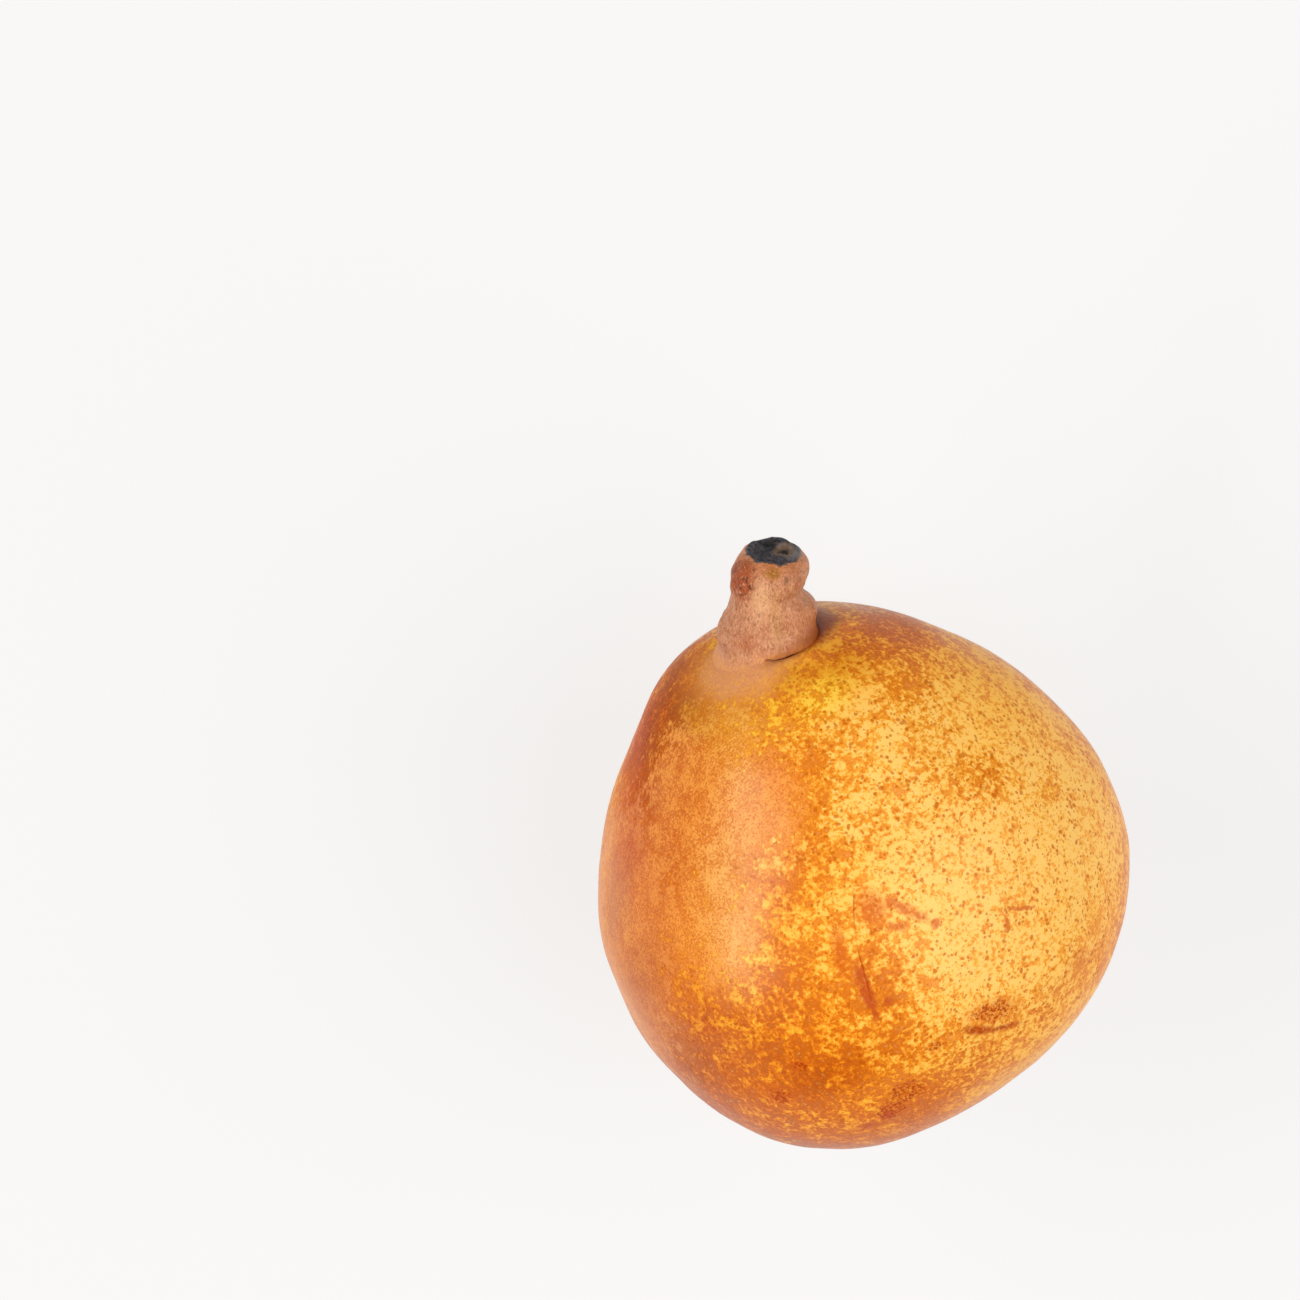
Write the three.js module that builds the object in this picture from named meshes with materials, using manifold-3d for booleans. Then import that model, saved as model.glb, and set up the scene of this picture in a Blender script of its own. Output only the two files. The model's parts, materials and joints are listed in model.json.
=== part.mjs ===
// A ripe, squat dessert pear lying on its side, in millimetres with +Z up.
// The origin is on the small flat spot that the fruit rests on, right under its balance point.
// The core runs from the blossom end to the stem in the YZ plane, with the stem end raised towards +Y.

import * as THREE from "three";
import { mergeVertices } from "three/addons/utils/BufferGeometryUtils.js";
import Module from "manifold-3d";

const wasm = await Module();
wasm.setup();

const { degToRad, radToDeg } = THREE.MathUtils;

// How the pear lies.
const STEM_RISE_DEG = 28; // slope of the core above the ground
const MIDDLE_HEIGHT = 40.7; // height of the fruit's middle above the resting spot
const MIDDLE_X = 0.3;
const MIDDLE_Y = 2.8;

// The fruit, in its own frame: the core is the Z axis and z = 0 is half way up.
const WIDEST_RADIUS = 38;
const BASE_BELOW_MIDDLE = 35;
const SEAT_RADIUS = 8.6; // the level top that carries the stem
const SEAT_ABOVE_BASE = 71.2;
const BASIN_DEPTH = 4.2; // hollow of the blossom end

// Half outline from the bottom of the blossom basin to the stem seat: radius, height above the base.
const FRUIT_OUTLINE = [
  [0, BASIN_DEPTH],
  [4.5, 3.8],
  [9, 1.7],
  [13.5, 0.2],
  [18.5, 0],
  [24.6, 2.1],
  [29.9, 6.4],
  [34.1, 11.9],
  [36.8, 18.2],
  [WIDEST_RADIUS, 25.2],
  [37.1, 34.9],
  [34.2, 43.9],
  [29.8, 52.5],
  [21.8, 62.6],
  [16.2, 67.3],
  [10.8, 70.4],
  [SEAT_RADIUS, SEAT_ABOVE_BASE],
];
const FRUIT_RINGS = 44;
const FRUIT_SIDES = 64;

// The fruit isn't round: parts of the radius that it swells by, and the azimuth of a crest.
const OVAL = { waves: 2, part: 0.02, crestDeg: -33 };
const THREE_CORNERED = { waves: 3, part: 0.035, crestDeg: -3 };
const BASE_RIBS = { waves: 5, part: 0.011, crestDeg: 24 };
const RIBS_HEIGHT = -28;
const RIBS_SPREAD = 16;
const SLANT = { part: 0.03, azimuthDeg: 207 }; // one shoulder stands higher than the other
const CORE_LEAN = { x: 1.3, y: -0.2 }; // how far the core leans sideways over half its height

// Local swellings and hollows: outward amount at the centre, and how far it spreads.
const FRUIT_SWELLS = [
  { azimuthDeg: 116, height: 34, amount: 2.3, spreadDeg: 46, spread: 8 }, // shoulder beside the stem
  { azimuthDeg: 196, height: 5, amount: 1.6, spreadDeg: 46, spread: 12 }, // cheek
  { azimuthDeg: 60, height: -3, amount: 1.6, spreadDeg: 40, spread: 20 }, // right of the resting spot
  { azimuthDeg: 115, height: -4, amount: -1, spreadDeg: 30, spread: 22 }, // left of the resting spot
];
const SWELL_FADE_RADIUS = 12; // swellings fade out nearer to the core than this

// The stem, in its own frame: z = 0 is the middle of its foot. It leans away from the core.
const STEM_LEAN_DEG = 20.6;
const STEM_GAP = 0.3;
const STEM_TOP_DRIFT = 0.7; // sideways curve of the tip
const STEM_CUT_RADIUS = 3.7;
const STEM_HEIGHT = 14.3;
const STEM_FOOT_RADIUS = 6.6;

// Half outline from below the foot, up the side, over the cut end and into its hollow pith.
const STEM_OUTLINE = [
  [STEM_FOOT_RADIUS, -4],
  [STEM_FOOT_RADIUS, -1],
  [6.3, 1.5],
  [5.9, 4],
  [5.2, 6.4],
  [4.8, 8.3],
  [5.1, 9.6],
  [5.3, 11.2],
  [5, 12.6],
  [4.4, 13.7],
  [STEM_CUT_RADIUS, STEM_HEIGHT],
];
const PITH_OUTLINE = [
  [2.8, 14.1],
  [1.5, 13.5],
  [0, 13.3],
];
const STEM_RINGS = 28;
const STEM_SIDES = 32;
const STEM_SWELLS = [
  { azimuthDeg: -5, height: 6, amount: 1.4, spreadDeg: 50, spread: 1.8 }, // fleshy bulge
  { azimuthDeg: -45, height: 2.2, amount: 1.4, spreadDeg: 42, spread: 2 }, // its lower part
  { azimuthDeg: 0, height: 8.6, amount: -0.8, spreadDeg: 45, spread: 1.1 }, // notch above the bulge
  { azimuthDeg: -20, height: -0.8, amount: -0.9, spreadDeg: 50, spread: 1.3 }, // crease under the bulge
  { azimuthDeg: 180, height: 2.6, amount: 1, spreadDeg: 55, spread: 2.4 }, // flared foot
  { azimuthDeg: 180, height: 8.8, amount: 0.5, spreadDeg: 60, spread: 2 }, // straight far side
];
const STEM_FADE_RADIUS = 3;

// The dried calyx in the blossom basin, in a frame whose +Z points out of the fruit.
const SEPAL_LENGTHS = [5.2, 4.7, 5.4, 4.9, 5.1]; // nature makes no two alike
const SEPAL_CURLS_DEG = [78, 62, 84, 70, 58];
const SEPAL_WIDTH = 3;
const SEPAL_THICKNESS = 0.6;
const SEPAL_RING_RADIUS = 2.6;
const SEPAL_CLEARANCE = 0.5;
const SEPAL_TIP_WIDTH = 0.15; // part of the full width that is left at the tip
const SEPAL_SIDES = 12;
const SEPAL_STEPS = 10;
const FIRST_SEPAL_DEG = 18;
const STAMENS_SIDES = 12;
const STAMENS_OUTLINE = [
  [0, SEPAL_CLEARANCE],
  [0.95, SEPAL_CLEARANCE],
  [1.2, 1.8],
  [0.7, 2.6],
  [0, 2.6],
];

const MERGE_DISTANCE = 1e-4;
const CUT_BLOCK_SIZE = 200; // larger than anything that is cut

const SKIN = { color: 0xe09a3e, roughness: 0.5, metalness: 0 };
const STEM_BARK = { color: 0x9c6240, roughness: 0.75, metalness: 0 };
const DRIED_SEPAL = { color: 0x4a2f1d, roughness: 0.9, metalness: 0 };
const DRIED_STAMENS = { color: 0x2e1d12, roughness: 0.95, metalness: 0 };

function toVectors(outline) {
  return outline.map(([radius, height]) => new THREE.Vector2(radius, height));
}

function smooth(outline, steps) {
  return new THREE.SplineCurve(toVectors(outline)).getSpacedPoints(steps);
}

// A lathe turns about Y, so it is stood up on Z.
function turned(points, sides) {
  return new THREE.LatheGeometry(points, sides).rotateX(Math.PI / 2);
}

// Moves each vertex. place() takes its radius, height and azimuth and returns its new place.
function reshape(geometry, place) {
  const positions = geometry.getAttribute("position");
  for (let i = 0; i < positions.count; i += 1) {
    const x = positions.getX(i);
    const y = positions.getY(i);
    const moved = place(Math.hypot(x, y), positions.getZ(i), Math.atan2(y, x));
    positions.setXYZ(i, moved.x, moved.y, moved.z);
  }
  return geometry;
}

// A bell-shaped bump: 1 at its centre, fading with the azimuth and the height.
function bell(azimuth, height, swell) {
  const turn = radToDeg(azimuth) - swell.azimuthDeg;
  const nearestTurn = THREE.MathUtils.euclideanModulo(turn + 180, 360) - 180;
  const across = nearestTurn / swell.spreadDeg;
  const along = (height - swell.height) / swell.spread;
  return Math.exp(-across * across - along * along);
}

function swelling(azimuth, height, swells) {
  return swells.reduce((sum, swell) => sum + swell.amount * bell(azimuth, height, swell), 0);
}

function wave(azimuth, { waves, part, crestDeg }) {
  return part * Math.cos(waves * (azimuth - degToRad(crestDeg)));
}

// Where a point of the plain turned fruit lies on the real, uneven one.
function onFruit(radius, height, azimuth) {
  const width = radius / WIDEST_RADIUS;
  const sides = width * (wave(azimuth, OVAL) + wave(azimuth, THREE_CORNERED));
  const fromRibs = (height - RIBS_HEIGHT) / RIBS_SPREAD;
  const ribs = wave(azimuth, BASE_RIBS) * Math.exp(-fromRibs * fromRibs);
  const fade = Math.min(1, radius / SWELL_FADE_RADIUS);
  const out = radius * (1 + sides + ribs) + fade * swelling(azimuth, height, FRUIT_SWELLS);
  const upwards = height / BASE_BELOW_MIDDLE;
  const slant = SLANT.part * width * width * Math.cos(azimuth - degToRad(SLANT.azimuthDeg));
  return new THREE.Vector3(
    out * Math.cos(azimuth) + CORE_LEAN.x * upwards,
    out * Math.sin(azimuth) + CORE_LEAN.y * upwards,
    height * (1 + slant),
  );
}

function onStem(radius, height, azimuth) {
  const fade = Math.min(1, radius / STEM_FADE_RADIUS);
  const out = radius + fade * swelling(azimuth, height, STEM_SWELLS);
  const drift = STEM_TOP_DRIFT * Math.max(0, height / STEM_HEIGHT) ** 3;
  return new THREE.Vector3(out * Math.cos(azimuth) + drift, out * Math.sin(azimuth), height);
}

function toSolid(geometry) {
  const bare = geometry.clone().deleteAttribute("normal").deleteAttribute("uv");
  const merged = mergeVertices(bare, MERGE_DISTANCE);
  return new wasm.Manifold(
    new wasm.Mesh({
      numProp: 3,
      vertProperties: merged.getAttribute("position").array,
      triVerts: new Uint32Array(merged.index.array),
    }),
  );
}

function toGeometry(solid) {
  const { vertProperties, triVerts } = solid.getMesh();
  const geometry = new THREE.BufferGeometry();
  geometry.setAttribute("position", new THREE.BufferAttribute(vertProperties, 3));
  geometry.setIndex(new THREE.BufferAttribute(triVerts, 1));
  geometry.computeVertexNormals();
  return geometry;
}

// Cuts off what lies behind a plane. keep is the plane's normal, towards the side that stays.
function cutFlat(geometry, keep, distance) {
  const block = new THREE.BoxGeometry(CUT_BLOCK_SIZE, CUT_BLOCK_SIZE, CUT_BLOCK_SIZE);
  const turn = new THREE.Quaternion().setFromUnitVectors(new THREE.Vector3(0, 0, 1), keep);
  block.translate(0, 0, distance - CUT_BLOCK_SIZE / 2).applyQuaternion(turn);
  return toGeometry(toSolid(geometry).subtract(toSolid(block)));
}

function makeMesh(name, geometry, look) {
  const mesh = new THREE.Mesh(geometry, new THREE.MeshStandardMaterial(look));
  mesh.name = name;
  return mesh;
}

function makeFruit(upInFruit) {
  const side = smooth(FRUIT_OUTLINE, FRUIT_RINGS);
  const profile = [...side, new THREE.Vector2(0, SEAT_ABOVE_BASE)];
  const plain = turned(profile, FRUIT_SIDES).translate(0, 0, -BASE_BELOW_MIDDLE);
  const whole = reshape(plain, onFruit);
  return makeMesh("fruit", cutFlat(whole, upInFruit, -MIDDLE_HEIGHT), SKIN);
}

function makeStem() {
  const side = smooth(STEM_OUTLINE, STEM_RINGS);
  const foot = new THREE.Vector2(0, STEM_OUTLINE[0][1]);
  const profile = [foot, ...side, ...toVectors(PITH_OUTLINE)];
  const whole = reshape(turned(profile, STEM_SIDES), onStem);
  const lean = degToRad(STEM_LEAN_DEG);
  const coreInStem = new THREE.Vector3(-Math.sin(lean), 0, Math.cos(lean));
  const stem = makeMesh("stem", cutFlat(whole, coreInStem, STEM_GAP), STEM_BARK);
  stem.rotation.y = lean;
  stem.position.copy(onFruit(0, SEAT_ABOVE_BASE - BASE_BELOW_MIDDLE, 0));
  return stem;
}

// A thin leaf that narrows to its tip and curls over towards +X.
function makeSepal(index) {
  const length = SEPAL_LENGTHS[index];
  const curl = degToRad(SEPAL_CURLS_DEG[index]);
  const curlRadius = length / curl;
  const geometry = new THREE.SphereGeometry(1, SEPAL_SIDES, SEPAL_STEPS).rotateX(Math.PI / 2);
  const positions = geometry.getAttribute("position");
  for (let i = 0; i < positions.count; i += 1) {
    const along = (positions.getZ(i) + 1) / 2;
    const narrowing = THREE.MathUtils.lerp(1, SEPAL_TIP_WIDTH, along);
    const layer = curlRadius - (positions.getX(i) * SEPAL_THICKNESS) / 2;
    const width = (positions.getY(i) * SEPAL_WIDTH * narrowing) / 2;
    const angle = along * curl;
    positions.setXYZ(i, curlRadius - layer * Math.cos(angle), width, layer * Math.sin(angle));
  }
  geometry.computeVertexNormals();
  const sepal = makeMesh(`sepal_${index + 1}`, geometry, DRIED_SEPAL);
  sepal.position.set(SEPAL_RING_RADIUS, 0, SEPAL_CLEARANCE);
  const spoke = new THREE.Group();
  spoke.rotation.z = degToRad(FIRST_SEPAL_DEG + (index * 360) / SEPAL_LENGTHS.length);
  spoke.add(sepal);
  return spoke;
}

// The withered stamens stand as one tuft in the middle of the sepals.
function makeStamens() {
  const geometry = turned(toVectors(STAMENS_OUTLINE), STAMENS_SIDES);
  return makeMesh("stamens", geometry, DRIED_STAMENS);
}

function makeCalyx() {
  const calyx = new THREE.Group();
  calyx.position.copy(onFruit(0, BASIN_DEPTH - BASE_BELOW_MIDDLE, 0));
  calyx.rotation.x = Math.PI;
  SEPAL_LENGTHS.forEach((_, index) => calyx.add(makeSepal(index)));
  calyx.add(makeStamens());
  return calyx;
}

function makePear() {
  const rise = degToRad(STEM_RISE_DEG);
  const upInFruit = new THREE.Vector3(0, -Math.cos(rise), Math.sin(rise));
  const pear = new THREE.Group();
  pear.rotation.x = rise - Math.PI / 2;
  pear.position.set(MIDDLE_X, MIDDLE_Y, MIDDLE_HEIGHT);
  pear.add(makeFruit(upInFruit), makeStem(), makeCalyx());
  return pear;
}

const root = new THREE.Group();
root.add(makePear());

export default root;
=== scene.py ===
import json
import math

import bpy
import numpy as np
from mathutils import Euler, Matrix, Quaternion, Vector, noise

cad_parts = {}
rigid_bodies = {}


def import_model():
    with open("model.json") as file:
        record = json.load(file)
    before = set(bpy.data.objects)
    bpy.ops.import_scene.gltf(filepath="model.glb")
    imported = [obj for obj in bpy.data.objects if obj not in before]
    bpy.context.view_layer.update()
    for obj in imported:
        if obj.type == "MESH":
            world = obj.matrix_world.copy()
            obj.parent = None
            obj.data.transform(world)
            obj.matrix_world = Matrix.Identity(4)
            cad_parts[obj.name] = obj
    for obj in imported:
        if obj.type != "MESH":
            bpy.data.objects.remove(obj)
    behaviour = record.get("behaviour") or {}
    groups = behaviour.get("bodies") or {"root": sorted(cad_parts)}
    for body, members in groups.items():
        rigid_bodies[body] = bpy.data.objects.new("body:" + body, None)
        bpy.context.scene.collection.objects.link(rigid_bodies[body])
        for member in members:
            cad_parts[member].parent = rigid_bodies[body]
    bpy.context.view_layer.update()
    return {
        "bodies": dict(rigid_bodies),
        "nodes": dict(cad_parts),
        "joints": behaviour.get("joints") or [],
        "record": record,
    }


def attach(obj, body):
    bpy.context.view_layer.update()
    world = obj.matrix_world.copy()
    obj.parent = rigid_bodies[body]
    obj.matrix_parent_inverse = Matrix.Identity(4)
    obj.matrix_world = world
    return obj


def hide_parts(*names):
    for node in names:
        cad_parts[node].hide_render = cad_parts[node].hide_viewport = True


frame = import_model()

MM = 0.001

# -------- the pear's dimensions, in mm

# How the pear lies. The fruit's own frame has the core on Z and z = 0 half way up.
STEM_RISE = math.radians(28)
MIDDLE = Vector((0.3, 2.8, 40.7))
WIDEST_RADIUS = 38
BASE_BELOW_MIDDLE = 35
SEAT_ABOVE_BASE = 71.2
BASIN_DEPTH = 4.2

# Half outline from the blossom basin to the stem: radius, height above the base.
FRUIT_OUTLINE = [
    (0, BASIN_DEPTH), (4.5, 3.8), (9, 1.7), (13.5, 0.2), (18.5, 0), (24.6, 2.1), (29.9, 6.4),
    (34.1, 11.9), (36.8, 18.2), (WIDEST_RADIUS, 25.2), (37.1, 34.9), (34.2, 43.9), (29.8, 52.5),
    (21.8, 62.6), (16.2, 67.3), (10.8, 70.4), (6.5, 71.6), (0, 71.9),
]
FRUIT_RINGS = 250
FRUIT_SIDES = 320

# Waves round the core: how many, their height as a share of the radius, and the azimuth of a crest.
OVAL = (2, 0.02, -33)
THREE_CORNERED = (3, 0.035, -3)
BASE_RIBS = (5, 0.011, 24)
RIBS_HEIGHT = -28
RIBS_SPREAD = 16
SLANT = 0.03
SLANT_AZIMUTH = 207
CORE_LEAN = (1.3, -0.2)

# Local swellings: azimuth, height above the middle, amount, spread in degrees, spread in mm.
FRUIT_SWELLS = [
    (116, 34, 2.3, 46, 8), (196, 5, 1.6, 46, 12), (60, -3, 1.6, 40, 20), (115, -4, -1.0, 30, 22),
]
SWELL_FADE_RADIUS = 12

STEM_LEAN = math.radians(20.6)
STEM_TOP_DRIFT = 0.7
STEM_HEIGHT = 14.3
STEM_CUT_RADIUS = 3.7
STEM_OUTLINE = [
    (6.6, -4), (6.6, -1), (6.3, 1.5), (5.9, 4), (5.2, 6.4), (4.8, 8.3), (5.1, 9.6), (5.3, 11.2),
    (5.0, 12.6), (4.4, 13.7), (STEM_CUT_RADIUS, STEM_HEIGHT),
]
STEM_SWELLS = [
    (-5, 6.0, 1.4, 50, 1.8), (-45, 2.2, 1.4, 42, 2.0), (0, 8.6, -0.8, 45, 1.1),
    (-20, -0.8, -0.9, 50, 1.3), (180, 2.6, 1.0, 55, 2.4), (180, 8.8, 0.5, 60, 2.0),
]
STEM_SWELL_FADE_RADIUS = 3
STEM_SIDES = 144

# How far apart the random heights of one seed and the next are taken.
SEED_STEPS = (17.3, 5.1, 9.7)

UPWARDS = np.array([0, 0, 1])


# -------- shapes shared by the pieces


def spline(points, count, steps=60):
    """Evenly spaced points along a smooth curve through the given ones."""
    knots = np.array(points, float)
    ends = np.vstack([2 * knots[0] - knots[1], knots, 2 * knots[-1] - knots[-2]])
    fine = []
    for i in range(len(knots) - 1):
        a, b, c, d = ends[i : i + 4]
        t = np.linspace(0, 1, steps, endpoint=False)[:, None]
        fine.append(b + 0.5 * t * (c - a + t * (2 * a - 5 * b + 4 * c - d + t * (3 * (b - c) + d - a))))
    fine = np.vstack([*fine, knots[-1:]])
    along = np.concatenate([[0], np.cumsum(np.linalg.norm(np.diff(fine, axis=0), axis=1))])
    even = np.linspace(0, along[-1], count)
    return np.stack([np.interp(even, along, fine[:, k]) for k in range(2)], axis=1)


def once_round(sides):
    """Evenly spaced angles, once round."""
    return np.linspace(0, 2 * math.pi, sides, endpoint=False)


def turned_from(azimuth, middle_deg):
    """Degrees round from a direction to an azimuth, from -180 to 180."""
    return (np.degrees(azimuth) - middle_deg + 180) % 360 - 180


def hump(value, shape):
    """A smooth rise and fall. shape is (height, middle, spread)."""
    height, middle, spread = shape
    return height * np.exp(-(((value - middle) / spread) ** 2))


def smooth(value, low, high):
    """0 below low, 1 above high and smooth between."""
    t = np.clip((value - low) / (high - low), 0, 1)
    return t * t * (3 - 2 * t)


def swelling(azimuth, height, swells):
    """How far all the swellings together push a point out."""
    total = np.zeros_like(azimuth + height)
    for middle_deg, level, amount, spread_deg, spread in swells:
        around = turned_from(azimuth, middle_deg) / spread_deg
        total += amount * np.exp(-(around**2) - ((height - level) / spread) ** 2)
    return total


def wave(azimuth, shape):
    waves, part, crest = shape
    return part * np.cos(waves * (azimuth - math.radians(crest)))


def on_fruit(radius, height, azimuth):
    """Where a point of the plain turned fruit lies on the uneven one, in its frame."""
    width = radius / WIDEST_RADIUS
    sides = width * (wave(azimuth, OVAL) + wave(azimuth, THREE_CORNERED))
    ribs = wave(azimuth, BASE_RIBS) * hump(height, (1, RIBS_HEIGHT, RIBS_SPREAD))
    fade = np.minimum(1, radius / SWELL_FADE_RADIUS)
    out = radius * (1 + sides + ribs) + fade * swelling(azimuth, height, FRUIT_SWELLS)
    upwards = height / BASE_BELOW_MIDDLE
    slant = SLANT * width**2 * np.cos(azimuth - math.radians(SLANT_AZIMUTH))
    x = out * np.cos(azimuth) + CORE_LEAN[0] * upwards
    y = out * np.sin(azimuth) + CORE_LEAN[1] * upwards
    return np.stack([x, y, height * (1 + slant)], axis=-1)


def on_stem(radius, height, azimuth):
    """The same for the stem, in the stem's frame."""
    fade = np.minimum(1, radius / STEM_SWELL_FADE_RADIUS)
    out = radius + fade * swelling(azimuth, height, STEM_SWELLS)
    drift = STEM_TOP_DRIFT * np.maximum(0, height / STEM_HEIGHT) ** 3
    return np.stack([out * np.cos(azimuth) + drift, out * np.sin(azimuth), height + 0 * out], axis=-1)


def on_core(above_base):
    """The point on the fruit's core at a height above its base."""
    height = np.float64(above_base - BASE_BELOW_MIDDLE)
    return Vector(on_fruit(np.float64(0), height, np.float64(0)))


# The frames of the fruit, the stem and the calyx. The row's frame is that of the CAD.
FRUIT_TO_ROW = Matrix.Translation(MIDDLE) @ Matrix.Rotation(STEM_RISE - math.pi / 2, 4, "X")
SEAT = on_core(SEAT_ABOVE_BASE)
STEM_TO_FRUIT = Matrix.Translation(SEAT) @ Matrix.Rotation(STEM_LEAN, 4, "Y")
STEM_TO_ROW = FRUIT_TO_ROW @ STEM_TO_FRUIT
BASIN = on_core(BASIN_DEPTH)
CALYX_TO_ROW = FRUIT_TO_ROW @ Matrix.Translation(BASIN) @ Matrix.Rotation(math.pi, 4, "X")


def moved(points, matrix):
    m = np.array(matrix)
    return points @ m[:3, :3].T + m[:3, 3]


def rough(points, *layers):
    """Smooth random heights, one for each point. Each layer is (size, amount, seed)."""
    total = np.zeros(points.shape[:-1])
    for size, amount, seed in layers:
        offset = Vector([seed * step for step in SEED_STEPS])
        flat = points.reshape(-1, 3) / size
        heights = [noise.noise(Vector(p) + offset) for p in flat]
        total += amount * np.array(heights).reshape(total.shape)
    return total


def outward(grid):
    """Unit normals of a grid of points whose second axis goes round."""
    around = np.roll(grid, -1, axis=1) - np.roll(grid, 1, axis=1)
    along = np.gradient(grid, axis=0)
    normal = np.cross(around, along)
    return normal / np.maximum(np.linalg.norm(normal, axis=-1, keepdims=True), 1e-9)


def in_scene(name, data):
    """A new object of the scene that shows the data."""
    made = bpy.data.objects.new(name, data)
    bpy.context.scene.collection.objects.link(made)
    return made


def mesh_piece(name, vertices, faces, material, node):
    """A smooth mesh that stands for a CAD node. Vertices are in mm in the row's frame."""
    mesh = bpy.data.meshes.new(name)
    mesh.from_pydata((vertices * MM).tolist(), [], faces)
    mesh.update()
    for polygon in mesh.polygons:
        polygon.use_smooth = True
    mesh.materials.append(material)
    piece = in_scene(name, mesh)
    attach(piece, "root")
    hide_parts(node)


def closed_grid(grid):
    """Vertices and faces of rings that close at a point at both ends."""
    rings, sides, _ = grid.shape
    vertices = np.vstack([grid.reshape(-1, 3), grid[0].mean(axis=0), grid[-1].mean(axis=0)])
    faces = []
    for i in range(rings - 1):
        for j in range(sides):
            k = (j + 1) % sides
            faces.append((i * sides + j, i * sides + k, (i + 1) * sides + k, (i + 1) * sides + j))
    low, high = rings * sides, rings * sides + 1
    top = (rings - 1) * sides
    for j in range(sides):
        k = (j + 1) % sides
        faces.append((low, k, j))
        faces.append((high, top + j, top + k))
    return vertices, faces


# -------- material building blocks

# How strongly the waxy skin bends light, and how deep each material's relief is in mm.
SKIN_IOR = 1.32
SKIN_RELIEF = 0.08
BARK_RELIEF = 0.16
DRIED_RELIEF = 0.15


class Graph:
    """Builds the nodes of a material or of the world. Each call returns the new node's output."""

    def __init__(self, owner):
        owner.use_nodes = True
        self.owner = owner
        self.tree = owner.node_tree
        self.tree.nodes.clear()

    def node(self, kind, inputs, output=0, **settings):
        made = self.tree.nodes.new("ShaderNode" + kind)
        for key, value in settings.items():
            setattr(made, key, value)
        for key, value in inputs.items():
            socket = made.inputs[key]
            if isinstance(value, bpy.types.NodeSocket):
                self.tree.links.new(value, socket)
            else:
                socket.default_value = value
        return made.outputs[output] if made.outputs else None

    def math(self, operation, a, b):
        return self.node("Math", {0: a, 1: b}, operation=operation)

    def times(self, a, b):
        return self.math("MULTIPLY", a, b)

    def scaled(self, value, factor, offset):
        """value times factor, plus offset."""
        return self.node("Math", {0: value, 1: factor, 2: offset}, operation="MULTIPLY_ADD")

    def vector_math(self, operation, a, b):
        return self.node("VectorMath", {0: a, 1: b}, operation=operation)

    def local(self, where, middle, turn, sizes):
        """A place as seen from a turned frame at middle, in units of its three sizes."""
        inputs = {"Vector": where, "Location": middle, "Rotation": turn, "Scale": sizes}
        return self.node("Mapping", inputs, vector_type="TEXTURE")

    def place(self, matrix):
        """Millimetre coordinates in a frame that is given by its matrix to the row's frame."""
        here = self.node("TexCoord", {}, output="Object")
        return self.local(here, matrix.to_translation() * MM, matrix.to_euler(), (MM, MM, MM))

    def level(self, where):
        """The third of a place's coordinates."""
        return self.node("SeparateXYZ", {0: where}, output=2)

    def along(self, where, azimuth_deg):
        """How far a place lies in a level direction."""
        turn = math.radians(azimuth_deg)
        inputs = {0: where, 1: (math.cos(turn), math.sin(turn), 0.0)}
        return self.node("VectorMath", inputs, output="Value", operation="DOT_PRODUCT")

    def noise(self, where, per_mm, roughness=0.5, detail=3.0, output=0):
        inputs = {"Vector": where, "Scale": per_mm, "Detail": detail, "Roughness": roughness}
        return self.node("TexNoise", inputs, output, noise_dimensions="3D")

    def step(self, value, zero_at, one_at):
        """0 at zero_at, 1 at one_at and smooth between. Either can be the larger."""
        inputs = {"Value": value, "From Min": zero_at, "From Max": one_at}
        return self.node("MapRange", inputs, interpolation_type="SMOOTHSTEP")

    def ramp(self, value, stops):
        """A colour that passes smoothly through the stops, each (value, colour)."""
        made = self.node("ValToRGB", {0: value})
        band = made.node.color_ramp
        band.interpolation = "EASE"
        while len(band.elements) < len(stops):
            band.elements.new(0.5)
        for element, (place, shade) in zip(band.elements, stops):
            element.position = place
            element.color = shade
        return made

    def mix(self, factor, a, b, blend="MIX"):
        """From colour a to colour b. A Mix node's colours are inputs 6 and 7, and output 2."""
        inputs = {0: factor, 6: a, 7: b}
        return self.node("Mix", inputs, output=2, data_type="RGBA", blend_type=blend)

    def painted(self, base, shade, mask, strength):
        """base under a coat of shade, which is as strong as strength where mask is 1."""
        return self.mix(self.times(mask, strength), base, shade)

    def tinted(self, base, mask, left):
        """base with its red, green and blue multiplied by left where mask is 1."""
        return self.mix(mask, base, (*left, 1.0), "MULTIPLY")

    def spot(self, where, centre, reach, edge, turn=(0, 0, 0)):
        """1 near a point and 0 beyond reach, which is one size or three. turn aims its axes."""
        sizes = (reach, reach, reach) if isinstance(reach, (int, float)) else reach
        inputs = {"Vector": self.local(where, centre, turn, sizes)}
        nearness = self.node("TexGradient", inputs, output=1, gradient_type="SPHERICAL")
        return self.step(nearness, 0.0, 1.0 - edge)

    def finish(self, base, roughness, height, depth_mm, gloss=None):
        """The finished material. gloss is how strongly a waxy one reflects."""
        bump = self.node("Bump", {"Height": height, "Strength": 1.0, "Distance": depth_mm * MM})
        inputs = {"Base Color": base, "Roughness": roughness, "Normal": bump}
        if gloss is not None:
            inputs.update({"IOR": SKIN_IOR, "Specular IOR Level": gloss})
        shader = self.node("BsdfPrincipled", inputs)
        self.node("OutputMaterial", {"Surface": shader})
        return self.owner


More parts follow.
